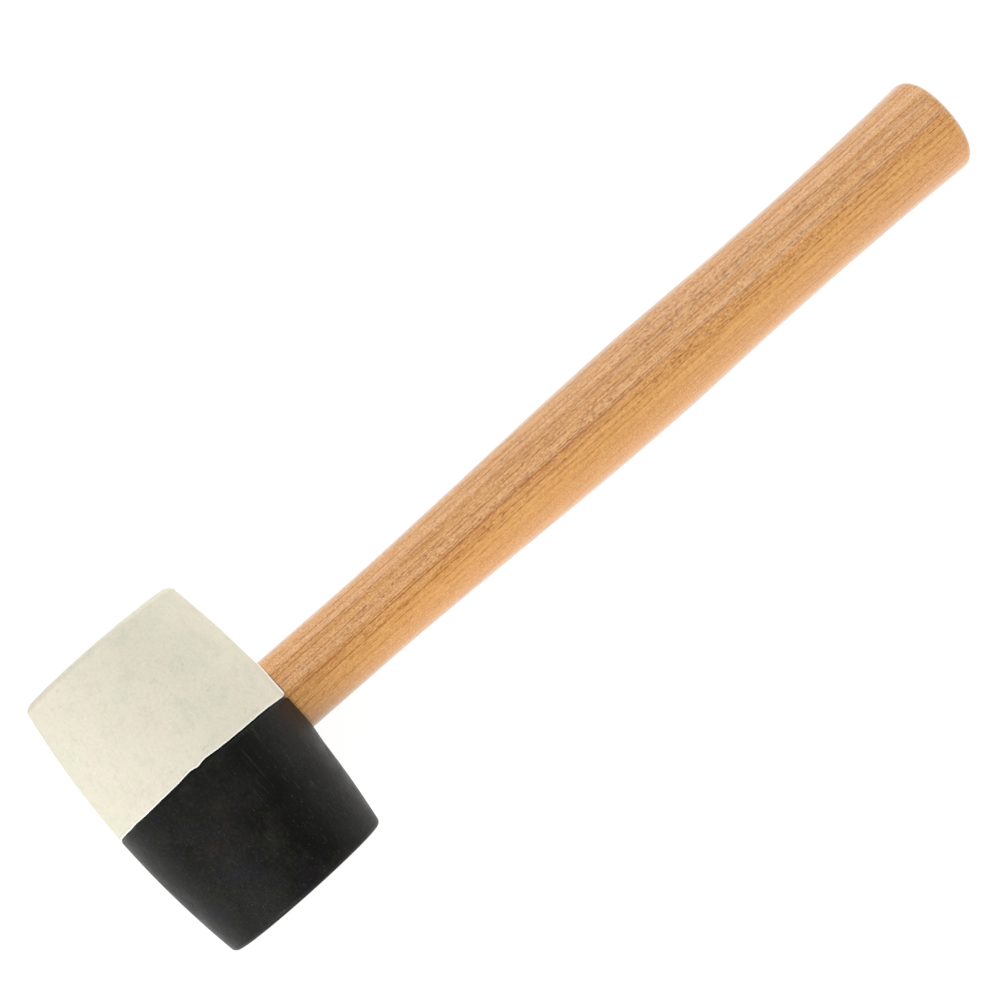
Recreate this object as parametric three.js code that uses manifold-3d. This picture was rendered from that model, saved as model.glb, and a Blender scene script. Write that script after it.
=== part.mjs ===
// Rubber mallet: a barrel-shaped head of white and black rubber on an oval hardwood handle.
//
// Millimetres, +Z up. The mallet lies on a floor at z = 0. The head's axis runs along X, with the
// white striking face at -X and the black one at +X. The handle runs towards +Y and slopes down
// a little, so that the head's belly and the handle's butt both touch the floor.
//
// Every piece is made in the mallet's own frame and then laid down with the others. There the
// origin is the centre of the head, X is the head's axis and Y is the handle's axis. "Along" is a
// distance along the handle from the head's axis, "width" is across X and "thickness" across Z.

import * as THREE from 'three';
import { LoftGeometry } from 'three/addons/geometries/LoftGeometry.js';
import { mergeVertices } from 'three/addons/utils/BufferGeometryUtils.js';
import Module from 'manifold-3d';

// The head: two rubber halves that meet at a seam halfway between the striking faces.
const HEAD_LENGTH = 90;
const BELLY_DIAMETER = 61.5;
const FACE_DIAMETER = 54;
const RIM_RADIUS = 2.2;
const SEAM_GAP = 0.2;

// The eye: a blind oval socket for the handle, wider across Z at its bottom than at its waist.
const EYE_BOTTOM = { along: -18.4, width: 22.6, thickness: 24 };
const EYE_WAIST = { along: 4, width: 23.2, thickness: 20.8 };
const EYE_MOUTH = { along: 34, width: 24.9, thickness: 20.6 };

// The handle's tenon fills the eye at the mouth and leaves room for the glue below it.
const MOUTH_FIT = 0.15;
const TENON_TIP = -17;
const TENON_CHAMFER = 1;
const TENON_RELIEF_START = 22;
const TENON_RELIEF_LENGTH = 1;
const TENON_INSET = 0.8;

// The cured glue: a thin cup round the tenon.
const GLUE_INSET_OUTSIDE = 0.15;
const GLUE_INSET_INSIDE = 0.65;
const GLUE_TOP = 21.5;

// The saw kerf in the tenon and the blind wedge that spreads it.
const KERF_END = 9;
const KERF_THICKNESS_AT_TIP = 4;
const KERF_THICKNESS_AT_END = 0.8;
const WEDGE_END = 4;
const WEDGE_WIDTH = 18;
const WEDGE_CLEARANCE = 0.12;

// The handle from the neck, over the grip's swell and waist, to the flared butt. It was shaped
// from a billet that is not quite straight, and bows a little towards the black half.
const HANDLE_STATIONS = [
  { along: 38, width: 24.5, thickness: 20.3 },
  { along: 70, width: 24.9, thickness: 20.8 },
  { along: 110, width: 27.1, thickness: 22.4 },
  { along: 150, width: 29.7, thickness: 24.3 },
  { along: 178, width: 30.6, thickness: 25 },
  { along: 222, width: 29.8, thickness: 24.8 },
  { along: 265, width: 30.6, thickness: 25.7 },
  { along: 290, width: 32.1, thickness: 26.9 },
  { along: 304, width: 33.4, thickness: 27.8 },
];
const HANDLE_BOW = 0.4;
const BUTT_EDGE_RADIUS = 3;
const BUTT_CROWN = 1.4;
const OVAL_EXPONENT = 2.2;

// How finely the curved surfaces are divided.
const HEAD_SIDES = 64;
const BARREL_STEPS = 8;
const RIM_STEPS = 4;
const OVAL_SIDES = 40;
const HANDLE_STEPS = 30;
const BUTT_EDGE_STEPS = 4;
const BUTT_CROWN_SCALES = [0.8, 0.55, 0.3];

const WHITE_RUBBER = { color: 0xe3dfcb, roughness: 0.85, metalness: 0 };
const BLACK_RUBBER = { color: 0x292925, roughness: 0.75, metalness: 0 };
const LACQUERED_WOOD = { color: 0xcf9c69, roughness: 0.4, metalness: 0 };
const BARE_WOOD = { color: 0xd9b98c, roughness: 0.8, metalness: 0 };
const CURED_GLUE = { color: 0xc9a45a, roughness: 0.3, metalness: 0 };

const wasm = await Module();
wasm.setup();

function toSolid(geometry) {
  const bare = new THREE.BufferGeometry();
  bare.setAttribute('position', geometry.attributes.position);
  bare.setIndex(geometry.index);
  const merged = mergeVertices(bare, 1e-4);
  return new wasm.Manifold(new wasm.Mesh({
    numProp: 3,
    vertProperties: new Float32Array(merged.attributes.position.array),
    triVerts: new Uint32Array(merged.index.array),
  }));
}

function toGeometry(solid) {
  const { vertProperties, triVerts } = solid.getMesh();
  const geometry = new THREE.BufferGeometry();
  geometry.setAttribute('position', new THREE.BufferAttribute(vertProperties, 3));
  geometry.setIndex(new THREE.BufferAttribute(triVerts, 1));
  geometry.computeVertexNormals();
  return geometry;
}

function namedMesh(name, geometry, look) {
  const mesh = new THREE.Mesh(geometry, new THREE.MeshStandardMaterial(look));
  mesh.name = name;
  return mesh;
}

// Points along an arc, both ends included. Angles are measured from the +X direction.
function arcPoints(centre, radius, startAngle, endAngle, steps) {
  const arc = new THREE.EllipseCurve(centre.x, centre.y, radius, radius, startAngle, endAngle);
  return arc.getPoints(steps);
}

// One oval section of the handle or the eye: a slightly squared ellipse across the handle's axis.
function ovalSection(along, width, thickness) {
  const squared = (value) => Math.sign(value) * Math.abs(value) ** (2 / OVAL_EXPONENT);
  return Array.from({ length: OVAL_SIDES }, (_, side) => {
    const angle = (side / OVAL_SIDES) * 2 * Math.PI;
    const x = (width / 2) * squared(Math.sin(angle));
    const z = (thickness / 2) * squared(Math.cos(angle));
    return new THREE.Vector3(x, along, z);
  });
}

// A section of the eye, or of something that stands off its wall by the inset.
function eyeSection(along, inset) {
  const [low, high] = along < EYE_WAIST.along ? [EYE_BOTTOM, EYE_WAIST] : [EYE_WAIST, EYE_MOUTH];
  const share = (along - low.along) / (high.along - low.along);
  const width = THREE.MathUtils.lerp(low.width, high.width, share);
  const thickness = THREE.MathUtils.lerp(low.thickness, high.thickness, share);
  return ovalSection(along, width - 2 * inset, thickness - 2 * inset);
}

function loft(sections) {
  return new LoftGeometry(sections, { capStart: true, capEnd: true });
}

// A flat-sided wedge shape, thick at the tenon's tip and thin at its other end.
function taperedSlab(tipAlong, endAlong, tipThickness, endThickness, width) {
  const outline = new THREE.Shape([
    new THREE.Vector2(tipThickness / 2, tipAlong),
    new THREE.Vector2(endThickness / 2, endAlong),
    new THREE.Vector2(-endThickness / 2, endAlong),
    new THREE.Vector2(-tipThickness / 2, tipAlong),
  ]);
  const slab = new THREE.ExtrudeGeometry(outline, { depth: width, bevelEnabled: false });
  slab.translate(0, 0, -width / 2);
  slab.rotateY(Math.PI / 2);
  return slab;
}

// The barrel's side is one arc from rim to rim, and each rim is rounded into its flat face.
function halfHeadProfile() {
  const halfLength = HEAD_LENGTH / 2;
  const belly = BELLY_DIAMETER / 2;
  const drop = belly - FACE_DIAMETER / 2;
  const barrelRadius = (halfLength ** 2 + drop ** 2) / (2 * drop);
  const barrelCentre = new THREE.Vector2(belly - barrelRadius, 0);
  const seamAngle = Math.asin(SEAM_GAP / 2 / barrelRadius);
  const rimAngle = Math.asin((halfLength - RIM_RADIUS) / (barrelRadius - RIM_RADIUS));
  const rimCentre = new THREE.Vector2(
    barrelCentre.x + (barrelRadius - RIM_RADIUS) * Math.cos(rimAngle),
    halfLength - RIM_RADIUS,
  );
  const barrel = arcPoints(barrelCentre, barrelRadius, seamAngle, rimAngle, BARREL_STEPS);
  const rim = arcPoints(rimCentre, RIM_RADIUS, rimAngle, Math.PI / 2, RIM_STEPS);
  return [
    new THREE.Vector2(0, SEAM_GAP / 2),
    ...barrel,
    ...rim.slice(1),
    new THREE.Vector2(0, halfLength),
  ];
}

// Side is -1 for the half towards -X and 1 for the half towards +X. The half is turned back by
// the slope, so that one of its flat facets lies on the floor when the mallet is laid down.
function makeHalfHead(side, eye) {
  const half = new THREE.LatheGeometry(halfHeadProfile(), HEAD_SIDES, Math.PI / HEAD_SIDES);
  half.rotateZ((-side * Math.PI) / 2);
  half.rotateX(handleSlope());
  return toGeometry(toSolid(half).subtract(eye));
}

function makeEye() {
  const { along: bottom } = EYE_BOTTOM;
  const { along: waist } = EYE_WAIST;
  const { along: mouth } = EYE_MOUTH;
  return toSolid(loft([eyeSection(bottom, 0), eyeSection(waist, 0), eyeSection(mouth, 0)]));
}

function tenonSections() {
  return [
    eyeSection(TENON_TIP, TENON_INSET + TENON_CHAMFER),
    eyeSection(TENON_TIP + TENON_CHAMFER, TENON_INSET),
    eyeSection(EYE_WAIST.along, TENON_INSET),
    eyeSection(TENON_RELIEF_START, TENON_INSET),
    eyeSection(TENON_RELIEF_START + TENON_RELIEF_LENGTH, MOUTH_FIT),
    eyeSection(BELLY_DIAMETER / 2, MOUTH_FIT),
  ];
}

function gripSections() {
  const stations = HANDLE_STATIONS.map(
    ({ along, width, thickness }) => new THREE.Vector3(along, width, thickness),
  );
  const shape = new THREE.CatmullRomCurve3(stations);
  const neck = HANDLE_STATIONS[0].along;
  const butt = HANDLE_STATIONS.at(-1).along;
  return shape.getPoints(HANDLE_STEPS).map(({ x: along, y: width, z: thickness }) => {
    const bow = HANDLE_BOW * Math.sin((Math.PI * (along - neck)) / (butt - neck));
    const section = ovalSection(along, width, thickness);
    section.forEach((point) => {
      point.x += bow;
    });
    return section;
  });
}

// The butt's edge is rounded over and its end is a low dome.
function buttSections() {
  const { along, width, thickness } = HANDLE_STATIONS.at(-1);
  const edge = Array.from({ length: BUTT_EDGE_STEPS }, (_, step) => {
    const angle = ((step + 1) / BUTT_EDGE_STEPS) * (Math.PI / 2);
    const inset = BUTT_EDGE_RADIUS * (1 - Math.cos(angle));
    const reach = along + BUTT_EDGE_RADIUS * Math.sin(angle);
    return ovalSection(reach, width - 2 * inset, thickness - 2 * inset);
  });
  const flatWidth = width - 2 * BUTT_EDGE_RADIUS;
  const flatThickness = thickness - 2 * BUTT_EDGE_RADIUS;
  const crown = BUTT_CROWN_SCALES.map((scale) => {
    const reach = along + BUTT_EDGE_RADIUS + BUTT_CROWN * (1 - scale ** 2);
    return ovalSection(reach, flatWidth * scale, flatThickness * scale);
  });
  return [...edge, ...crown];
}

function makeHandle() {
  const blank = loft([...tenonSections(), ...gripSections(), ...buttSections()]);
  const kerf = taperedSlab(
    TENON_TIP - 1,
    KERF_END,
    KERF_THICKNESS_AT_TIP,
    KERF_THICKNESS_AT_END,
    2 * EYE_WAIST.width,
  );
  return toGeometry(toSolid(blank).subtract(toSolid(kerf)));
}

// The wedge follows the kerf's taper with a small clearance on each side.
function makeWedge() {
  const taper = (KERF_THICKNESS_AT_TIP - KERF_THICKNESS_AT_END) / (KERF_END - TENON_TIP + 1);
  const tipThickness = KERF_THICKNESS_AT_TIP - taper - 2 * WEDGE_CLEARANCE;
  const endThickness = tipThickness - taper * (WEDGE_END - TENON_TIP);
  return taperedSlab(TENON_TIP, WEDGE_END, tipThickness, endThickness, WEDGE_WIDTH);
}

function makeGlue() {
  const wall = GLUE_INSET_OUTSIDE;
  const bore = GLUE_INSET_INSIDE;
  const outside = loft([
    eyeSection(EYE_BOTTOM.along + wall, wall),
    eyeSection(EYE_WAIST.along, wall),
    eyeSection(GLUE_TOP, wall),
  ]);
  const inside = loft([
    eyeSection(EYE_BOTTOM.along + bore, bore),
    eyeSection(EYE_WAIST.along, bore),
    eyeSection(GLUE_TOP + 1, bore),
  ]);
  return toGeometry(toSolid(outside).subtract(toSolid(inside)));
}

// The angle at which a line touches both the belly's lowest facet and the butt's lower edge.
function handleSlope() {
  const belly = (BELLY_DIAMETER / 2) * Math.cos(Math.PI / HEAD_SIDES);
  const { along, thickness } = HANDLE_STATIONS.at(-1);
  const reach = Math.hypot(along, thickness / 2);
  return Math.asin(belly / reach) - Math.atan2(thickness / 2, along);
}

const eye = makeEye();
const mallet = new THREE.Group();
mallet.add(
  namedMesh('head_white_half', makeHalfHead(-1, eye), WHITE_RUBBER),
  namedMesh('head_black_half', makeHalfHead(1, eye), BLACK_RUBBER),
  namedMesh('handle', makeHandle(), LACQUERED_WOOD),
  namedMesh('blind_wedge', makeWedge(), BARE_WOOD),
  namedMesh('eye_adhesive', makeGlue(), CURED_GLUE),
);

// Lay the mallet down, with the middle of its footprint at the origin.
mallet.rotation.x = -handleSlope();
const box = new THREE.Box3().setFromObject(mallet, true);
const middle = box.getCenter(new THREE.Vector3());
mallet.position.set(-middle.x, -middle.y, -box.min.z);

export default mallet;
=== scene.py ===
"""The looks of a two-tone rubber mallet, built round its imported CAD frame. Metres, +Z up.

The visible pieces are made in the mallet's own frame: the origin is the centre of the head, X is
the head's axis from the white face to the black one, and Y is the handle's axis. One matrix then
lays each mesh down in the CAD's place, and the materials undo it to find the mallet's own frame.
"""

import math

import bmesh
import bpy
import numpy as np
from mathutils import Matrix, Vector


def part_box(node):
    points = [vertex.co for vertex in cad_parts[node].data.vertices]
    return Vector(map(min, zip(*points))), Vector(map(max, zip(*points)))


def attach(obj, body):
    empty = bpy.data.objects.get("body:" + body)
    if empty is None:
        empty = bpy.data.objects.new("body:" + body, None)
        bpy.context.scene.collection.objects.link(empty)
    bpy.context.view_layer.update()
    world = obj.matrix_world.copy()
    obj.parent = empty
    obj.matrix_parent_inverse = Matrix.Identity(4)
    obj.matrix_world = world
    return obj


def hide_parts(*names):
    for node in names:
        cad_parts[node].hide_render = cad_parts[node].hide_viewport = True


MM = 0.001

# Points closer together than this are one point, once a cut has been made.
SLIVER = 0.002 * MM

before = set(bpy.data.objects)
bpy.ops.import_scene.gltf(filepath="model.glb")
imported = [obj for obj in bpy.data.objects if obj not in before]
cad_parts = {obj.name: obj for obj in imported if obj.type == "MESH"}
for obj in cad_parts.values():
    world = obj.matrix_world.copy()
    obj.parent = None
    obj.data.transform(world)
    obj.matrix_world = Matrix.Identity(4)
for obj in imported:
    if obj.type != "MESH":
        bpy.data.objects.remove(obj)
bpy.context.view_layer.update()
white_low, white_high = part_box("head_white_half")
black_low, black_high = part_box("head_black_half")
handle_low, handle_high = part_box("handle")

# The head's size and place come from the frame.
HEAD_HALF_LENGTH = (black_high.x - white_low.x) / 2
BELLY_RADIUS = (white_high.z - white_low.z) / 2
HEAD_CENTRE = Vector((
    (black_high.x + white_low.x) / 2,
    white_low.y + BELLY_RADIUS,
    white_low.z + BELLY_RADIUS,
))

# The blind eye: distance along the handle from the head's axis, width across X, thickness across Z.
EYE_STATIONS = [
    (-18.4 * MM, 22.6 * MM, 24.0 * MM),
    (4.0 * MM, 23.2 * MM, 20.8 * MM),
    (34.0 * MM, 24.9 * MM, 20.6 * MM),
]

# The tenon: distance along the handle, and how far it stands off the eye's wall.
TENON_STATIONS = [
    (-17.0 * MM, 1.8 * MM),
    (-16.0 * MM, 0.8 * MM),
    (4.0 * MM, 0.8 * MM),
    (22.0 * MM, 0.8 * MM),
    (23.0 * MM, 0.15 * MM),
    (30.75 * MM, 0.15 * MM),
]

# The saw kerf in the tenon: its thickness at both ends, and where it starts and ends.
KERF_TIP_THICKNESS = 4.0 * MM
KERF_END_THICKNESS = 0.8 * MM
KERF_TIP = -18.0 * MM
KERF_END = 9.0 * MM

# The handle: distance along it from the head's axis, width across X, thickness across Z.
HANDLE_STATIONS = [
    (38.0 * MM, 24.5 * MM, 20.3 * MM),
    (70.0 * MM, 24.9 * MM, 20.8 * MM),
    (110.0 * MM, 27.1 * MM, 22.4 * MM),
    (150.0 * MM, 29.7 * MM, 24.3 * MM),
    (178.0 * MM, 30.6 * MM, 25.0 * MM),
    (222.0 * MM, 29.8 * MM, 24.8 * MM),
    (265.0 * MM, 30.6 * MM, 25.7 * MM),
    (290.0 * MM, 32.1 * MM, 26.9 * MM),
    (304.0 * MM, 33.4 * MM, 27.8 * MM),
]
HANDLE_BOW = 0.4 * MM
BUTT_EDGE_RADIUS = 3.0 * MM
BUTT_CROWN = 1.38 * MM

# Sections of the handle and the eye are superellipses: 2 would be a plain ellipse.
OVAL_EXPONENT = 2.2


def lying_slope():
    """The angle that lays the mallet down on the belly of its head and its butt's edge."""
    along, _, thickness = HANDLE_STATIONS[-1]
    reach = math.hypot(along, thickness / 2)
    return math.asin(BELLY_RADIUS / reach) - math.atan2(thickness / 2, along)


SLOPE = lying_slope()
LYING = Matrix.Translation(HEAD_CENTRE) @ Matrix.Rotation(-SLOPE, 4, "X")


# ---------------------------------------------------------------- mesh tools


def closed_mesh(name, points, faces):
    """A mesh of these points and faces, with every face turned outwards."""
    mesh = bpy.data.meshes.new(name)
    mesh.from_pydata(points, [], faces)
    turned = bmesh.new()
    turned.from_mesh(mesh)
    bmesh.ops.recalc_face_normals(turned, faces=turned.faces)
    turned.to_mesh(mesh)
    turned.free()
    return mesh


def grid_mesh(name, rows, start_pole, end_pole):
    """A closed mesh through rings of points, each ring an (n, 3) array, with a pole at each end."""
    count = len(rows[0])
    points = [tuple(start_pole)]
    for row in rows:
        points.extend(map(tuple, row))
    points.append(tuple(end_pole))
    last = len(points) - 1
    faces = []
    for side in range(count):
        after = (side + 1) % count
        faces.append((0, 1 + after, 1 + side))
        for ring in range(len(rows) - 1):
            base = 1 + ring * count
            faces.append((base + side, base + after, base + count + after, base + count + side))
        base = 1 + (len(rows) - 1) * count
        faces.append((base + side, base + after, last))
    return closed_mesh(name, points, faces)


def add_object(name, mesh):
    piece = bpy.data.objects.new(name, mesh)
    bpy.context.scene.collection.objects.link(piece)
    return piece


def cut(piece, cutter):
    """Cuts the cutter's shape out of the piece, and deletes the cutter."""
    modifier = piece.modifiers.new("cut", "BOOLEAN")
    modifier.operation = "DIFFERENCE"
    modifier.solver = "EXACT"
    modifier.object = cutter
    bpy.context.view_layer.update()
    depsgraph = bpy.context.evaluated_depsgraph_get()
    mesh = bpy.data.meshes.new_from_object(piece.evaluated_get(depsgraph))
    piece.modifiers.clear()
    remove_slivers(mesh)
    piece.data = mesh
    bpy.data.objects.remove(cutter)


def remove_slivers(mesh):
    """Splits the many-sided faces that a cut leaves, and removes those without an area."""
    cleaned = bmesh.new()
    cleaned.from_mesh(mesh)
    bmesh.ops.triangulate(cleaned, faces=[face for face in cleaned.faces if len(face.verts) > 4])
    bmesh.ops.remove_doubles(cleaned, verts=cleaned.verts, dist=SLIVER)
    bmesh.ops.dissolve_degenerate(cleaned, dist=SLIVER, edges=cleaned.edges)
    cleaned.to_mesh(mesh)
    cleaned.free()


def smooth_shade(mesh, angle):
    """Smooth shading that breaks at edges sharper than an angle in degrees."""
    mesh.shade_smooth()
    mesh.set_sharp_from_angle(angle=math.radians(angle))


def finish_piece(piece, material, node):
    """Gives the piece its material and lays it down in the place of the CAD's node."""
    piece.data.materials.clear()
    piece.data.materials.append(material)
    piece.data.transform(LYING)
    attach(piece, "root")
    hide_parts(node)


# ---------------------------------------------------------------- oval sections


def squared(value):
    """Squares off a sine or cosine, so that a circle becomes the handle's oval."""
    return np.sign(value) * np.abs(value) ** (2 / OVAL_EXPONENT)


def oval(along, width, thickness, sides=128, shift=0.0):
    """A ring of points round the handle's axis, at one distance along it."""
    angle = np.arange(sides) / sides * 2 * np.pi
    x = width / 2 * squared(np.sin(angle)) + shift
    z = thickness / 2 * squared(np.cos(angle))
    return np.stack([x, np.full(sides, along), z], axis=1)


def eye_size(along, inset=0.0):
    """The eye's width and thickness at one distance along, less an inset all round."""
    stations = np.array(EYE_STATIONS)
    width = np.interp(along, stations[:, 0], stations[:, 1])
    thickness = np.interp(along, stations[:, 0], stations[:, 2])
    return width - 2 * inset, thickness - 2 * inset


def smooth_through(stations, along):
    """The stations' values on a smooth curve through them, at one distance along."""
    table = np.array(stations)
    position = table[:, 0]
    slopes = np.gradient(table[:, 1:], position, axis=0)
    index = int(np.clip(np.searchsorted(position, along) - 1, 0, len(position) - 2))
    span = position[index + 1] - position[index]
    t = (along - position[index]) / span
    start, end = table[index, 1:], table[index + 1, 1:]
    return (
        (2 * t**3 - 3 * t**2 + 1) * start
        + (t**3 - 2 * t**2 + t) * span * slopes[index]
        + (3 * t**2 - 2 * t**3) * end
        + (t**3 - t**2) * span * slopes[index + 1]
    )


# ---------------------------------------------------------------- the handle


def handle_rings():
    """Ovals from the tenon's tip to the middle of the butt."""
    rings = []
    for along, inset in TENON_STATIONS:
        rings.append(oval(along, *eye_size(along, inset)))
    neck, butt = HANDLE_STATIONS[0][0], HANDLE_STATIONS[-1][0]
    for along in np.linspace(neck, butt, 180):
        width, thickness = smooth_through(HANDLE_STATIONS, along)
        bow = HANDLE_BOW * math.sin(math.pi * (along - neck) / (butt - neck))
        rings.append(oval(along, width, thickness, shift=bow))
    _, width, thickness = HANDLE_STATIONS[-1]
    for angle in np.linspace(0, np.pi / 2, 9)[1:]:
        inset = BUTT_EDGE_RADIUS * (1 - math.cos(angle))
        reach = butt + BUTT_EDGE_RADIUS * math.sin(angle)
        rings.append(oval(reach, width - 2 * inset, thickness - 2 * inset))
    flat_width, flat_thickness = width - 2 * BUTT_EDGE_RADIUS, thickness - 2 * BUTT_EDGE_RADIUS
    for scale in np.linspace(1, 0, 12)[1:-1]:
        reach = butt + BUTT_EDGE_RADIUS + BUTT_CROWN * (1 - scale**2)
        rings.append(oval(reach, flat_width * scale, flat_thickness * scale))
    return rings


def tapered_slab(name):
    """The saw kerf's shape: thick at the tenon's tip and thin at its end."""
    half_width = EYE_STATIONS[0][1]
    tip, end = KERF_TIP_THICKNESS / 2, KERF_END_THICKNESS / 2
    outline = [(KERF_TIP, -tip), (KERF_END, -end), (KERF_END, end), (KERF_TIP, tip)]
    points = [(x, y, z) for x in (-half_width, half_width) for y, z in outline]
    sides = [(i, (i + 1) % 4, 4 + (i + 1) % 4, 4 + i) for i in range(4)]
    faces = [(3, 2, 1, 0), (4, 5, 6, 7), *sides]
    return add_object(name, closed_mesh(name, points, faces))


def make_handle(material):
    rings = handle_rings()
    tip = (0, TENON_STATIONS[0][0], 0)
    butt = (0, HANDLE_STATIONS[-1][0] + BUTT_EDGE_RADIUS + BUTT_CROWN, 0)
    handle = add_object("wooden_handle", grid_mesh("wooden_handle", rings, tip, butt))
    cut(handle, tapered_slab("kerf_cutter"))
    smooth_shade(handle.data, 35)
    finish_piece(handle, material, "handle")


# ---------------------------------------------------------------- the rubber head

# Each half is a moulding of its own: radius of its face's outline, and of the rounding round it.
WHITE_FACE = (BELLY_RADIUS - 4.05 * MM, 2.4 * MM)
BLACK_FACE = (BELLY_RADIUS - 3.65 * MM, 1.7 * MM)

# How far from the seam and the mouth their unevenness reaches, and how wide the lip is.
SEAM_WAVE_REACH = 7.0 * MM
MOUTH_SWELL_REACH = 3.5 * MM
LIP_REACH = 0.35 * MM

# The mesh is fine by the seam and beside the mouth, up to these distances from the seam.
SEAM_ZONE = 2.6 * MM
MOUTH_ZONE = 14.0 * MM

# The mouth is shaped only this deep into the head, and the materials see the seam this deep.
MOUTH_DEPTH = 4.5 * MM
SEAM_DEPTH = 2.0 * MM

# The edge at the seam: length and depth of its rounding, and the height of its lip.
WHITE_EDGE = (0.18 * MM, 0.12 * MM, 0.12 * MM)
BLACK_EDGE = (1.5 * MM, 1.2 * MM, 0.0)

# The eye's mouth: radius of its rounding, how far the rubber swells up round the handle beside the
# seam and at the handle's side, height of the bead along its edge, and radius of the corner between
# the mouth and the seam.
WHITE_MOUTH = (0.2 * MM, 0.45 * MM, 0.2 * MM, 0.32 * MM, 1.1 * MM)
BLACK_MOUTH = (0.2 * MM, 0.6 * MM, 0.42 * MM, 0.0, 1.8 * MM)
BEAD_WIDTH = 0.55 * MM
CORNER_REACH = 1.8 * MM

# The seam strays from the middle of the head in soft bends: middle and reach of each bend in
# degrees round the head's axis, and its height in mm. The angle is 0 on top and grows towards the
# crown, the side opposite the handle. A wide bow towards the white side deepens near the top, with
# a kink in it.
SEAM_BENDS = [
    (10, 45, -1.15),
    (10, 10, -0.6),
    (10, 3, 0.65),
    (-40, 16, -0.3),
    (60, 5, -0.2),
    (88, 5, 0.2),
    (125, 12, 0.25),
    (195, 12, -0.6),
]


def seam_wave(turn):
    """How far the seam strays at an angle in radians, with a fine unevenness of its own."""
    stray = 0.020 * math.sin(41 * turn + 4.0) + 0.012 * math.sin(67 * turn + 0.3)
    for middle, reach, height in SEAM_BENDS:
        away = (math.degrees(turn) - middle + 180) % 360 - 180
        stray += height * math.exp(-((away / reach) ** 2))
    return stray * MM


def head_turns():
    """Angles round the head's axis, closer together round the eye's mouth."""
    mouth = -math.pi / 2
    near = np.radians(22)
    dense = np.linspace(mouth - near, mouth + near, 220, endpoint=False)
    rest = np.linspace(mouth + near, mouth - near + 2 * np.pi, 300, endpoint=False)
    return np.concatenate([dense, rest])


def half_head_profile(face, edge):
    """Distance from the seam and radius, from the seam's middle out and over to the face's."""
    face_radius, rim_radius = face
    edge_length, edge_depth, lip = edge
    drop = BELLY_RADIUS - face_radius
    barrel_radius = (HEAD_HALF_LENGTH**2 + drop**2) / (2 * drop)
    barrel_centre = BELLY_RADIUS - barrel_radius
    rim_turn = math.asin((HEAD_HALF_LENGTH - rim_radius) / (barrel_radius - rim_radius))
    rim_centre = barrel_centre + (barrel_radius - rim_radius) * math.cos(rim_turn)
    barrel_end = barrel_radius * math.sin(rim_turn)

    def barrel(distance):
        return barrel_centre - lip + math.sqrt(barrel_radius**2 - distance**2)

    profile = [(0.0, BELLY_RADIUS * share) for share in (0.3, 0.6, 0.85)]
    for angle in np.linspace(0, np.pi / 2, 9):
        distance = edge_length * (1 - math.cos(angle))
        profile.append((distance, barrel(distance) + lip - edge_depth * (1 - math.sin(angle))))
    near_seam = np.linspace(edge_length, SEAM_ZONE, 12)[1:]
    by_mouth = np.linspace(SEAM_ZONE, MOUTH_ZONE, 66)[1:]
    far = np.linspace(MOUTH_ZONE, barrel_end, 22)[1:]
    for distance in np.concatenate([near_seam, by_mouth, far]):
        bump = lip * math.exp(-(((distance - edge_length) / LIP_REACH) ** 2))
        profile.append((distance, barrel(distance) + bump))
    for angle in np.linspace(rim_turn, np.pi / 2, 10)[1:]:
        distance = HEAD_HALF_LENGTH - rim_radius * (1 - math.sin(angle))
        profile.append((distance, rim_centre + rim_radius * math.cos(angle)))
    for share in (0.97, 0.9, 0.75, 0.5, 0.25):
        profile.append((HEAD_HALF_LENGTH, rim_centre * share))
    return profile


def eye_distance(x, y, z):
    """How far a point lies outside the eye's wall, measured away from the handle's axis."""
    width, thickness = eye_size(y)
    size = (abs(x) / (width / 2)) ** OVAL_EXPONENT + (abs(z) / (thickness / 2)) ** OVAL_EXPONENT
    return math.hypot(x, z) * (1 - size ** (-1 / OVAL_EXPONENT))


def corner_drop(away, corner):
    """How far a corner's rounding lies below it, at a distance from its end."""
    return corner - math.sqrt(corner**2 - max(corner - away, 0.0) ** 2)


def shape_mouth(mesh, radius, seam_swell, side_swell, bead, corner):
    """Swells the rubber round the handle, and rounds it over into the eye and into the seam."""
    half_width = eye_size(BELLY_RADIUS)[0] / 2
    for vertex in mesh.vertices:
        x, y, z = vertex.co
        if y < BELLY_RADIUS / 2 or math.hypot(y, z) < BELLY_RADIUS - MOUTH_DEPTH:
            continue
        distance = eye_distance(x, y, z)
        swell = seam_swell + (side_swell - seam_swell) * min(1.0, abs(x) / half_width)
        vertex.co.y += swell * math.exp(-((max(distance, 0) / MOUTH_SWELL_REACH) ** 2))
        vertex.co.y += bead * math.exp(-((max(distance, 0) / BEAD_WIDTH) ** 4))
        away = abs(x - seam_wave(math.atan2(-y, z)))
        fading = math.exp(-((max(distance, 0) / CORNER_REACH) ** 2))
        vertex.co.y -= corner_drop(away, corner) * fading
        vertex.co.y -= corner_drop(max(distance, 0), radius)


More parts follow.
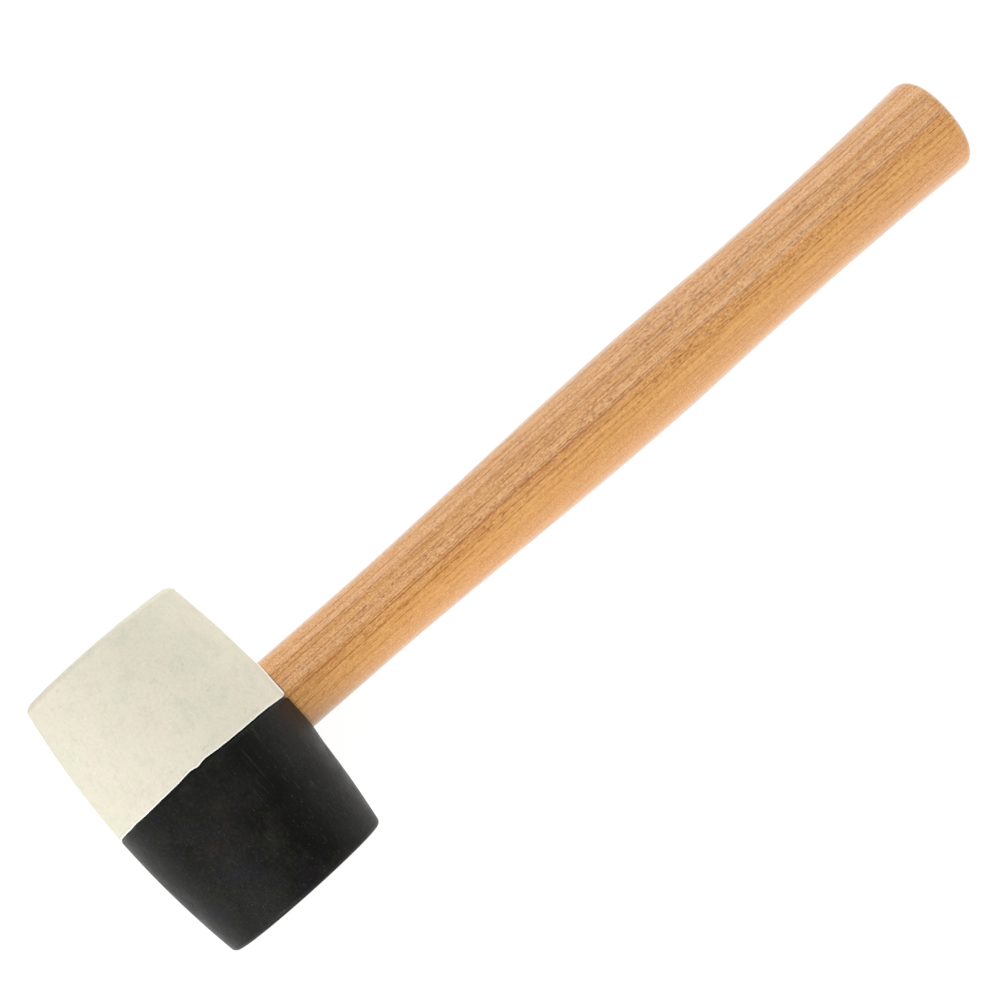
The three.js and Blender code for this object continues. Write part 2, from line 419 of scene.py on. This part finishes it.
def make_half_head(name, side, face, edge, mouth, material, node):
    """One half of the head, on the negative or positive side of X."""
    turns = head_turns()
    waves = np.array([seam_wave(turn) for turn in turns])
    rings = []
    for distance, radius in half_head_profile(face, edge):
        reach = math.exp(-distance / SEAM_WAVE_REACH) * min(1.0, radius / BELLY_RADIUS)
        reach *= 1 - distance / HEAD_HALF_LENGTH
        ring = np.empty((len(turns), 3))
        ring[:, 0] = side * distance + waves * reach
        ring[:, 1] = -radius * np.sin(turns)
        ring[:, 2] = radius * np.cos(turns)
        rings.append(ring)
    seam_middle, face_middle = (0, 0, 0), (side * HEAD_HALF_LENGTH, 0, 0)
    half = add_object(name, grid_mesh(name, rings, seam_middle, face_middle))
    shape_mouth(half.data, *mouth)
    cut(half, make_eye_cutter())
    store_seam_distance(half.data)
    smooth_shade(half.data, 40)
    finish_piece(half, material, node)


def store_seam_distance(mesh):
    """Each vertex keeps its distance in mm from the seam, for the materials."""
    attribute = mesh.attributes.new("seam_distance", "FLOAT", "POINT")
    for vertex, value in zip(mesh.vertices, attribute.data):
        x, y, z = vertex.co
        inside = BELLY_RADIUS - math.hypot(y, z)
        away = abs(x - seam_wave(math.atan2(-y, z)))
        value.value = max(away, inside - SEAM_DEPTH) / MM


def make_eye_cutter():
    """The blind eye's shape, from its floor to outside the head."""
    places = [along for along, _, _ in EYE_STATIONS]
    rings = [oval(along, *eye_size(along), sides=160) for along in places]
    start, end = (0, places[0], 0), (0, places[-1], 0)
    return add_object("eye_cutter", grid_mesh("eye_cutter", rings, start, end))


# ---------------------------------------------------------------- materials


def srgb(red, green, blue):
    """A linear colour from the 0 to 255 values that a screen shows."""

    def linear(value):
        value /= 255
        return value / 12.92 if value <= 0.04045 else ((value + 0.055) / 1.055) ** 2.4

    return (linear(red), linear(green), linear(blue), 1.0)


class Graph:
    """A material's node tree, with short calls for the nodes that these materials use."""

    def __init__(self, name):
        self.material = bpy.data.materials.new(name)
        self.material.use_nodes = True
        self.tree = self.material.node_tree
        self.shader = self.tree.nodes["Principled BSDF"]
        place = {
            "Vector": self.tree.nodes.new("ShaderNodeTexCoord").outputs["Object"],
            "Location": HEAD_CENTRE,
            "Rotation": (-SLOPE, 0.0, 0.0),
        }
        mapping = self.node("ShaderNodeMapping", place, vector_type="TEXTURE")
        self.coordinates = mapping.outputs["Vector"]

    def put(self, socket, value):
        """Links a socket to another one, or sets its value."""
        if isinstance(value, bpy.types.NodeSocket):
            self.tree.links.new(value, socket)
        else:
            socket.default_value = value

    def node(self, kind, inputs, **settings):
        """A new node with its settings and inputs."""
        made = self.tree.nodes.new(kind)
        for key, value in settings.items():
            setattr(made, key, value)
        for key, value in inputs.items():
            self.put(made.inputs[key], value)
        return made

    def scaled(self, x, y, z, source=None, shift=(0, 0, 0)):
        """The coordinates in millimetres, multiplied by x, y and z."""
        scale = (x / MM, y / MM, z / MM)
        vector = source or self.coordinates
        inputs = {"Vector": vector, "Scale": scale, "Location": shift}
        return self.node("ShaderNodeMapping", inputs).outputs["Vector"]

    def noise(self, vector, scale=1.0, detail=3.0, roughness=0.5, distortion=0.0):
        inputs = {
            "Vector": vector,
            "Scale": scale,
            "Detail": detail,
            "Roughness": roughness,
            "Distortion": distortion,
        }
        return self.node("ShaderNodeTexNoise", inputs).outputs["Fac"]

    def voronoi(self, vector, randomness=1.0):
        inputs = {"Vector": vector, "Scale": 1.0, "Randomness": randomness}
        return self.node("ShaderNodeTexVoronoi", inputs).outputs

    def attribute(self, name):
        made = self.node("ShaderNodeAttribute", {}, attribute_name=name)
        return made.outputs["Fac"]

    def math(self, operation, first, second=0.0, third=0.0):
        inputs = {0: first, 1: second, 2: third}
        return self.node("ShaderNodeMath", inputs, operation=operation).outputs[0]

    def ramp(self, value, low, high, bottom=0.0, top=1.0):
        """Smoothly from bottom to top while value goes from low to high."""
        inputs = {
            "Value": value,
            "From Min": low,
            "From Max": high,
            "To Min": bottom,
            "To Max": top,
        }
        made = self.node("ShaderNodeMapRange", inputs, interpolation_type="SMOOTHSTEP")
        return made.outputs["Result"]

    def mix(self, share, first, second, blend="MIX"):
        made = self.node("ShaderNodeMix", {}, data_type="RGBA", blend_type=blend)
        for socket in made.inputs:
            if socket.name == "Factor" and socket.type == "VALUE":
                self.put(socket, share)
            elif socket.name == "A" and socket.type == "RGBA":
                self.put(socket, first)
            elif socket.name == "B" and socket.type == "RGBA":
                self.put(socket, second)
        return next(o for o in made.outputs if o.type == "RGBA")

    def bump(self, height, depth, normal=None):
        inputs = {"Height": height, "Distance": depth, "Strength": 1.0}
        if normal is not None:
            inputs["Normal"] = normal
        return self.node("ShaderNodeBump", inputs).outputs["Normal"]

    def separate(self, vector):
        return self.node("ShaderNodeSeparateXYZ", {"Vector": vector}).outputs


def growth(g, x, y, z):
    """Distance in mm across the growth rings, from the ring line along the handle's top."""
    wander = g.noise(g.scaled(0.02, 0.006, 0.02), detail=2.0)
    ripple = g.noise(g.scaled(0.1, 0.03, 0.1, shift=(4, 7, 1)), detail=2.0)
    askew = g.math("MULTIPLY_ADD", y, 0.0035, -0.6)
    wave = g.math("MULTIPLY_ADD", wander, 2.4, -1.2)
    shiver = g.math("MULTIPLY_ADD", ripple, 0.7, -0.35)
    lean = g.math("MULTIPLY_ADD", z, 0.10, -1.1)
    curve = g.math("MULTIPLY_ADD", g.math("POWER", z, 2.0), 0.007, -0.85)
    total = x
    for part in (askew, wave, shiver, lean, curve):
        total = g.math("ADD", total, part)
    return total


def grain_lines(g, across, y, z, spacing, width, shown, seed):
    """Broken dark lines along the growth rings: spacing and width in mm, and the share shown."""
    place = g.math("ADD", g.math("DIVIDE", across, spacing), seed)
    index = g.math("FLOOR", place)
    jitter = g.node("ShaderNodeTexWhiteNoise", {"W": index}, noise_dimensions="1D").outputs["Value"]
    middle = g.math("MULTIPLY_ADD", jitter, 0.5, 0.25)
    away = g.math("ABSOLUTE", g.math("SUBTRACT", g.math("FRACT", place), middle))
    thread = g.ramp(away, 0.75 * width / spacing, 0.2 * width / spacing)
    row = g.math("MULTIPLY", index, 7.31)

    def breaks(along, around, detail):
        place = {0: row, 1: g.math("MULTIPLY", y, along), 2: g.math("MULTIPLY", z, around)}
        spot = g.node("ShaderNodeCombineXYZ", place).outputs[0]
        return g.noise(spot, detail=detail, roughness=0.6)

    span = breaks(0.06, 0.9, 3.0)
    bead = breaks(0.7, 2.5, 2.0)
    broken = g.ramp(span, 0.60 - 0.2 * shown, 0.68 - 0.2 * shown)
    beaded = g.ramp(bead, 0.34, 0.6, 0.35, 1.0)
    return g.math("MULTIPLY", g.math("MULTIPLY", thread, broken), beaded)


def pore_layer(g, width, length, density, thickness):
    """Dark dashes along the grain, width and length being a cell's size in mm."""
    cells = g.voronoi(g.scaled(1 / width, 1 / length, 1 / width, shift=(width, length, 1)))
    chance = g.separate(cells["Color"])[0]
    inner = thickness / 2 / width
    dash = g.ramp(cells["Distance"], inner * 1.8, inner * 0.7)
    return g.math("MULTIPLY", dash, g.ramp(g.math("SUBTRACT", density, chance), -0.04, 0.08))


def joint_painted_shade(g, x, y, z):
    """How much painted shade darkens the wood by the rubber it enters, mostly on the white side,
    for the shadow in the gap at the mouth.
    """
    from_axis = g.math("SQRT", g.math("ADD", g.math("POWER", y, 2.0), g.math("POWER", z, 2.0)))
    rise = g.math("MULTIPLY_ADD", g.math("MINIMUM", x, 0.0), 0.074, 0.7 + BELLY_RADIUS / MM)
    near = g.ramp(g.math("SUBTRACT", from_axis, rise), 0.5, 0.15)
    return g.math("MULTIPLY", near, g.ramp(x, -3.0, 0.6, 1.0, 0.35))


def mouth_distance(g, x, y, z):
    """Distance in mm outside the eye's mouth, or a large one on the head's other sides."""
    width, thickness = (size / MM for size in eye_size(BELLY_RADIUS))
    size = 0.0
    for place, half in ((x, width / 2), (z, thickness / 2)):
        share = g.math("ABSOLUTE", g.math("DIVIDE", place, half))
        size = g.math("ADD", size, g.math("POWER", share, OVAL_EXPONENT))
    from_axis = g.math("SQRT", g.math("ADD", g.math("POWER", x, 2.0), g.math("POWER", z, 2.0)))
    inner = g.math("MULTIPLY", from_axis, g.math("POWER", size, -1 / OVAL_EXPONENT))
    return g.math("ADD", g.math("SUBTRACT", from_axis, inner), g.ramp(y, 22.0, 18.0, 0.0, 20.0))


def wood_lines(g, x, y, z):
    """Rings 1.9 mm apart, finer vessel lines between them, and the one line that shows most."""
    across = growth(g, x, y, z)
    rings = grain_lines(g, across, y, z, 1.9, 0.34, 0.9, 20)
    vessels = grain_lines(g, across, y, z, 0.62, 0.22, 0.45, 61)
    hairs = grain_lines(g, across, y, z, 0.37, 0.15, 0.35, 83)
    bead = g.noise(g.scaled(0.9, 0.6, 0.9), detail=3.0)
    main_line = g.ramp(g.math("ABSOLUTE", g.math("SUBTRACT", across, 0.1)), 0.30, 0.10)
    main_line = g.math("MULTIPLY", main_line, g.ramp(bead, 0.3, 0.55, 0.45, 1.0))
    main_line = g.math("MULTIPLY", main_line, g.ramp(y, 120.0, 230.0, 1.0, 0.3))
    lines = g.math("MAXIMUM", g.math("MAXIMUM", rings, main_line), g.math("MULTIPLY", vessels, 0.8))
    return g.math("MAXIMUM", lines, g.math("MULTIPLY", hairs, 0.65))


def wood_pores(g, y):
    """Short dashes, crowded in narrow bands, with more of them towards the butt."""
    crowd = g.noise(g.scaled(0.30, 0.008, 0.30), detail=2.0)
    towards_butt = g.ramp(y, 90.0, 240.0, 1.0, 1.6)
    density = g.math("MULTIPLY", g.ramp(crowd, 0.50, 0.66, 0.05, 0.55), towards_butt)
    return pore_layer(g, 0.42, 2.3, density, 0.22)


def wood_base(g, x, y):
    """The wood's broad tones: more golden on the black rubber's side, with painted shade along its
    edge and two pale bands of painted highlight.
    """
    bands = g.noise(g.scaled(0.16, 0.006, 0.16), detail=2.0)
    body = g.mix(g.ramp(bands, 0.35, 0.65), srgb(229, 168, 100), srgb(235, 177, 110))
    body = g.mix(g.ramp(x, 0.0, 6.0, 0.0, 0.6), body, srgb(243, 185, 109))
    # Painted shade: the wood darkens along the edge on the black rubber's side.
    body = g.mix(g.ramp(x, 5.0, 10.0, 0.0, 0.8), body, srgb(216, 154, 92))
    # Painted highlight: two pale bands of soft reflection run along the other side, and grow paler
    # towards the butt.
    from_middle = g.math("ABSOLUTE", g.math("ADD", x, 4.2))
    from_band = g.math("ABSOLUTE", g.math("SUBTRACT", from_middle, 2.8))
    pale = g.math("MULTIPLY", g.ramp(from_band, 1.8, 0.4), g.ramp(y, 20.0, 250.0, 0.09, 0.32))
    return g.mix(pale, body, srgb(246, 222, 190))


def wood_material(name, lacquered):
    g = Graph(name)
    x, y, z = g.separate(g.scaled(1, 1, 1))[:3]
    lines = wood_lines(g, x, y, z)
    pores = wood_pores(g, y)

    # Fibres: streaks along the grain, and a grit of single cells.
    fine = g.noise(g.scaled(3.6, 0.16, 3.6), detail=3.0, roughness=0.65)
    grit = g.noise(g.scaled(3.0, 1.7, 3.0, shift=(1, 8, 4)), detail=3.0, roughness=0.7)
    streaks = g.noise(g.scaled(0.8, 0.012, 0.8), detail=4.0, roughness=0.6)

    # The grain is calmer on the black rubber's side.
    calm = g.math("MAXIMUM", g.ramp(x, 2.0, 10.5, 1.0, 0.3), g.ramp(y, 190.0, 265.0, 0.3, 0.5))
    gritty = g.ramp(x, -1.0, 5.0, 0.95, 0.5)
    streaked = g.math("MULTIPLY", g.ramp(streaks, 0.38, 0.7, 0.0, 0.65), calm)
    body = g.mix(streaked, wood_base(g, x, y), srgb(213, 147, 68))
    fibrous = g.math("MULTIPLY", g.ramp(fine, 0.35, 0.72, 0.0, 0.5), calm)
    body = g.mix(fibrous, body, srgb(201, 132, 50))
    body = g.mix(g.math("MULTIPLY", g.ramp(grit, 0.5, 0.32), gritty), body, srgb(248, 202, 148))
    body = g.mix(g.math("MULTIPLY", g.ramp(grit, 0.5, 0.68), gritty), body, srgb(193, 118, 28))
    body = g.mix(g.math("MULTIPLY", lines, g.math("MULTIPLY", calm, 0.78)), body, srgb(160, 82, 0))
    body = g.mix(g.math("MULTIPLY", pores, g.math("MULTIPLY", calm, 0.75)), body, srgb(146, 70, 2))
    # Painted shade: the wood darkens where it enters the rubber, standing in for the shadow in the
    # gap at the mouth.
    colour = g.mix(g.math("MULTIPLY", joint_painted_shade(g, x, y, z), 0.75), body, srgb(70, 40, 20))
    g.put(g.shader.inputs["Base Color"], colour)

    fibres = g.math("MULTIPLY", g.math("ADD", fine, grit), 0.5)
    relief = g.math("SUBTRACT", fibres, pores)
    relief = g.math("SUBTRACT", relief, g.math("MULTIPLY", lines, 0.7))
    normal = g.bump(relief, 0.035 * MM)
    g.put(g.shader.inputs["Normal"], normal)
    g.put(g.shader.inputs["Roughness"], g.ramp(fine, 0.2, 0.8, 0.5, 0.62))
    g.shader.inputs["Specular IOR Level"].default_value = 0.2
    g.shader.inputs["Sheen Weight"].default_value = 0.5
    g.shader.inputs["Sheen Roughness"].default_value = 0.4
    if lacquered:
        g.shader.inputs["Coat Weight"].default_value = 1.0
        gloss = g.noise(g.scaled(0.3, 0.03, 0.3, shift=(3, 3, 9)), detail=3.0)
        g.put(g.shader.inputs["Coat Roughness"], g.ramp(gloss, 0.36, 0.62, 0.07, 0.2))
        g.put(g.shader.inputs["Coat Normal"], g.bump(relief, 0.02 * MM))
    return g.material


def specks_layer(g, size, radius, share, shift):
    """Round specks of a radius in mm, in that share of the cells of a size in mm."""
    cells = g.voronoi(g.scaled(1 / size, 1 / size, 1 / size, shift=shift))
    chance = g.separate(cells["Color"])[1]
    dot = g.ramp(cells["Distance"], radius / size, radius / size * 0.4)
    return g.math("MULTIPLY", dot, g.ramp(chance, 1 - share, 1.0, 0.0, 1.0))


def clouds_layer(g, size, shift, detail=4.0, roughness=0.6):
    """Soft patches, about that many mm across, from 0 to 1."""
    vector = g.scaled(0.5 / size, 0.5 / size, 0.5 / size, shift=shift)
    return g.noise(vector, detail=detail, roughness=roughness)


def white_rubber_material():
    g = Graph("white_rubber")
    x, y, z = g.separate(g.scaled(1, 1, 1))[:3]
    seam = g.attribute("seam_distance")
    mouth = mouth_distance(g, x, y, z)
    clouds = clouds_layer(g, 8.0, (0, 0, 0))
    green = clouds_layer(g, 5.5, (3, 1, 7))
    pink = clouds_layer(g, 4.0, (9, 4, 2))
    grey = clouds_layer(g, 2.2, (7, 3, 6))
    worn = clouds_layer(g, 9.0, (2, 6, 5), detail=2.0)
    grain = clouds_layer(g, 0.45, (0, 0, 0), detail=3.0, roughness=0.7)
    scuffs = g.noise(g.scaled(0.9, 0.5, 0.6, shift=(4, 4, 1)), detail=4.0, roughness=0.7)
    specks = specks_layer(g, 1.6, 0.22, 0.22, (1, 2, 3))
    body = g.mix(clouds, srgb(228, 223, 203), srgb(232, 228, 208))
    body = g.mix(g.ramp(green, 0.44, 0.64, 0.0, 0.5), body, srgb(221, 221, 198))
    body = g.mix(g.ramp(pink, 0.46, 0.66, 0.0, 0.4), body, srgb(235, 221, 209))
    body = g.mix(g.ramp(grey, 0.48, 0.70, 0.0, 0.5), body, srgb(215, 212, 195))
    body = g.mix(g.ramp(grain, 0.50, 0.74, 0.0, 0.30), body, srgb(200, 197, 178))
    body = g.mix(g.ramp(grain, 0.50, 0.26, 0.0, 0.30), body, srgb(244, 241, 224))
    scuffed = g.math("MULTIPLY", g.ramp(scuffs, 0.56, 0.72), g.ramp(worn, 0.45, 0.62))
    body = g.mix(g.math("MULTIPLY", scuffed, 0.40), body, srgb(186, 184, 166))
    body = g.mix(g.math("MULTIPLY", specks, 0.45), body, srgb(168, 162, 142))
    # A lighter trimmed edge with painted highlight: a bright line along the seam and round the
    # mouth.
    lip = g.math("MAXIMUM", g.ramp(seam, 0.50, 0.30), g.ramp(mouth, 1.2, 0.5))
    g.put(g.shader.inputs["Base Color"], g.mix(lip, body, srgb(252, 251, 244)))
    skin = g.noise(g.scaled(0.5, 0.9, 0.9), detail=5.0, roughness=0.7)
    skin = g.math("SUBTRACT", skin, g.math("MULTIPLY", specks, 0.3))
    g.put(g.shader.inputs["Normal"], g.bump(skin, 0.07 * MM))
    g.put(g.shader.inputs["Roughness"], g.ramp(green, 0.3, 0.7, 0.62, 0.78))
    g.shader.inputs["Specular IOR Level"].default_value = 0.15
    return g.material


def black_rubber_material():
    g = Graph("black_rubber")
    x, y, z = g.separate(g.scaled(1, 1, 1))[:3]
    seam = g.attribute("seam_distance")
    clouds = clouds_layer(g, 7.0, (0, 0, 0))
    blooms = clouds_layer(g, 3.5, (7, 3, 1))
    blue = clouds_layer(g, 3.0, (2, 8, 4))
    brown = clouds_layer(g, 4.0, (6, 2, 9))
    mottle = clouds_layer(g, 0.5, (0, 0, 0), detail=4.0, roughness=0.75)
    specks = specks_layer(g, 0.9, 0.2, 0.25, (5, 1, 2))
    body = g.mix(g.ramp(clouds, 0.3, 0.7), srgb(8, 9, 4), srgb(20, 22, 15))
    body = g.mix(g.ramp(blooms, 0.45, 0.72, 0.0, 0.6), body, srgb(33, 35, 27))
    body = g.mix(g.ramp(blue, 0.50, 0.66, 0.0, 0.6), body, srgb(19, 19, 31))
    body = g.mix(g.ramp(brown, 0.50, 0.68, 0.0, 0.5), body, srgb(30, 21, 18))
    body = g.mix(g.ramp(mottle, 0.50, 0.72, 0.0, 0.7), body, srgb(39, 40, 31))
    body = g.mix(g.ramp(mottle, 0.50, 0.30, 0.0, 0.7), body, srgb(5, 6, 2))
    # Painted shade: a darker band runs along the upper side, short of the face, standing in for the
    # dark overhead in the rubber's reflection.
    painted_shade_band = g.ramp(g.math("ABSOLUTE", g.math("SUBTRACT", y, 7.5)), 8.5, 2.0, 0.0, 0.8)
    painted_shade_band = g.math("MULTIPLY", painted_shade_band, g.ramp(z, 5.0, 18.0))
    painted_shade_band = g.math("MULTIPLY", painted_shade_band, g.ramp(x, 44.0, 40.0))
    body = g.mix(painted_shade_band, body, srgb(2, 3, 1))
    # Painted reflection: the rubber turns brown towards the handle's side, for the wood's light
    # bounced onto it.
    body = g.mix(g.ramp(y, 15.0, 31.0, 0.0, 0.4), body, srgb(33, 25, 22))
    # Fine pale scratches run along the head, most of them on the handle's side.
    scratches = g.noise(g.scaled(0.10, 2.2, 2.2, shift=(3, 5, 8)), detail=3.0, roughness=0.7)
    scratched = g.math("MULTIPLY", g.ramp(scratches, 0.58, 0.72), g.ramp(y, -5.0, 22.0, 0.2, 0.85))
    body = g.mix(scratched, body, srgb(68, 65, 59))
    body = g.mix(g.math("MULTIPLY", specks, 0.55), body, srgb(84, 82, 73))
    # Painted shade: the rubber darkens into the rounded groove along the seam.
    colour = g.mix(g.ramp(seam, 0.9, 0.3, 0.0, 0.8), body, srgb(6, 6, 5))
    g.put(g.shader.inputs["Base Color"], colour)
    skin = g.math("ADD", mottle, g.math("MULTIPLY", specks, 0.4))
    g.put(g.shader.inputs["Normal"], g.bump(skin, 0.09 * MM))
    g.put(g.shader.inputs["Roughness"], g.ramp(blooms, 0.32, 0.68, 0.36, 0.50))
    g.shader.inputs["Specular IOR Level"].default_value = 0.16
    return g.material


def glue_material():
    g = Graph("cured_adhesive")
    clouds = g.noise(g.scaled(0.3, 0.3, 0.3), detail=3.0)
    colour = g.mix(clouds, srgb(190, 150, 78), srgb(214, 178, 104))
    g.put(g.shader.inputs["Base Color"], colour)
    g.put(g.shader.inputs["Normal"], g.bump(clouds, 0.1 * MM))
    g.shader.inputs["Roughness"].default_value = 0.3
    return g.material


def floor_material():
    g = Graph("pale_floor")
    g.shader.inputs["Base Color"].default_value = (0.10, 0.10, 0.10, 1.0)
    g.shader.inputs["Roughness"].default_value = 1.0
    g.shader.inputs["Specular IOR Level"].default_value = 0.0
    g.shader.inputs["Emission Color"].default_value = (1.0, 1.0, 1.0, 1.0)
    g.shader.inputs["Emission Strength"].default_value = 0.94
    return g.material


# ---------------------------------------------------------------- stage


def make_floor():
    size = 6.0
    corners = [(-size, -size, 0), (size, -size, 0), (size, size, 0), (-size, size, 0)]
    mesh = bpy.data.meshes.new("floor")
    mesh.from_pydata(corners, [], [(0, 1, 2, 3)])
    floor = add_object("floor", mesh)
    floor.data.materials.append(floor_material())


def add_softbox(name, place, aim, width, height, brightness):
    """A rectangular light: its face is that many times as bright as a white surface."""
    data = bpy.data.lights.new(name, "AREA")
    data.shape = "RECTANGLE"
    data.size, data.size_y = width, height
    data.energy = brightness * math.pi * width * height
    lamp = bpy.data.objects.new(name, data)
    bpy.context.scene.collection.objects.link(lamp)
    lamp.location = place
    lamp.rotation_mode = "QUATERNION"
    lamp.rotation_quaternion = (Vector(aim) - Vector(place)).to_track_quat("-Z", "Y")
    lamp.visible_camera = False


# The surroundings: an even light, and a glow along the horizon that is brighter towards some sides.
EVEN_LIGHT = 0.314
GLOW_TOWARDS = {"X": (0.228, 0.359), "Y": (0.0, 0.817)}
GLOW_HEIGHT = (0.25, 0.85)


def make_studio():
    """Surroundings that are brightest low down, beyond the handle's butt, and dark overhead."""
    world = bpy.data.worlds.new("studio")
    world.use_nodes = True
    tree = world.node_tree

    def calculate(operation, first, second):
        made = tree.nodes.new("ShaderNodeMath")
        made.operation = operation
        for socket, value in zip(made.inputs, (first, second)):
            if isinstance(value, float):
                socket.default_value = value
            else:
                tree.links.new(value, socket)
        return made.outputs[0]

    separate = tree.nodes.new("ShaderNodeSeparateXYZ")
    tree.links.new(tree.nodes.new("ShaderNodeTexCoord").outputs["Generated"], separate.inputs[0])
    fade = tree.nodes.new("ShaderNodeMapRange")
    fade.interpolation_type = "SMOOTHSTEP"
    tree.links.new(separate.outputs["Z"], fade.inputs["Value"])
    fade.inputs["From Min"].default_value, fade.inputs["From Max"].default_value = GLOW_HEIGHT
    fade.inputs["To Min"].default_value, fade.inputs["To Max"].default_value = 1.0, 0.0
    glow = 0.0
    for axis, (backward, forward) in GLOW_TOWARDS.items():
        part = separate.outputs[axis]
        ahead = calculate("MULTIPLY", calculate("MAXIMUM", part, 0.0), forward)
        behind = calculate("MULTIPLY", calculate("MINIMUM", part, 0.0), -backward)
        glow = calculate("ADD", glow, calculate("ADD", ahead, behind))
    strength = calculate("ADD", calculate("MULTIPLY", glow, fade.outputs["Result"]), EVEN_LIGHT)
    tree.links.new(strength, tree.nodes["Background"].inputs["Strength"])
    tree.nodes["Background"].inputs["Color"].default_value = (1.0, 1.0, 1.0, 1.0)
    bpy.context.scene.world = world


def make_lights():
    add_softbox("softbox_overhead", (-0.50, 0.2, 1.5), (-0.50, 0.2, 0), 0.75, 2.0, 1.24)
    add_softbox("softbox_outer", (-1.15, 0.4, 1.5), (-1.15, 0.4, 0), 0.55, 2.0, 0.48)
    add_softbox("softbox_white_side", (-1.9, 0.85, 0.62), (0, 0.1, 0.03), 2.4, 1.0, 1.53)
    add_softbox("softbox_black_side", (1.6, -1.4, 0.75), (0, 0, 0.03), 2.0, 0.9, 5.2)
    add_softbox("softbox_crown", (0.2, -1.4, 1.3), (0, -0.1, 0), 2.2, 1.6, 0.62)


def make_camera():
    """Looks down on the mallet from the head's side, rolled so that the handle points up right."""
    azimuth, elevation, roll = math.radians(-0.08), math.radians(76.37), math.radians(48.55)
    distance = 0.8039
    aim = HEAD_CENTRE + Vector((-1.25, 116.78, -2.98)) * MM
    forward = Vector((
        math.sin(azimuth) * math.cos(elevation),
        math.cos(azimuth) * math.cos(elevation),
        -math.sin(elevation),
    ))
    data = bpy.data.cameras.new("camera")
    data.sensor_width = 36.0
    data.lens = 98.64
    camera = bpy.data.objects.new("camera", data)
    bpy.context.scene.collection.objects.link(camera)
    camera.location = aim - forward * distance
    camera.rotation_mode = "QUATERNION"
    level = forward.to_track_quat("-Z", "Y")
    camera.rotation_quaternion = level @ Matrix.Rotation(roll, 3, "Z").to_quaternion()
    bpy.context.scene.camera = camera


def make_view():
    scene = bpy.context.scene
    scene.view_settings.view_transform = "Standard"
    scene.view_settings.look = "None"


make_camera()
make_view()
make_studio()
make_lights()
make_floor()

make_handle(wood_material("lacquered_wood", lacquered=True))
make_half_head(
    "white_rubber_half", -1, WHITE_FACE, WHITE_EDGE, WHITE_MOUTH,
    white_rubber_material(), "head_white_half",
)
make_half_head(
    "black_rubber_half", 1, BLACK_FACE, BLACK_EDGE, BLACK_MOUTH,
    black_rubber_material(), "head_black_half",
)
for node, material in (
    ("blind_wedge", wood_material("bare_wood", lacquered=False)),
    ("eye_adhesive", glue_material()),
):
    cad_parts[node].material_slots[0].material = material
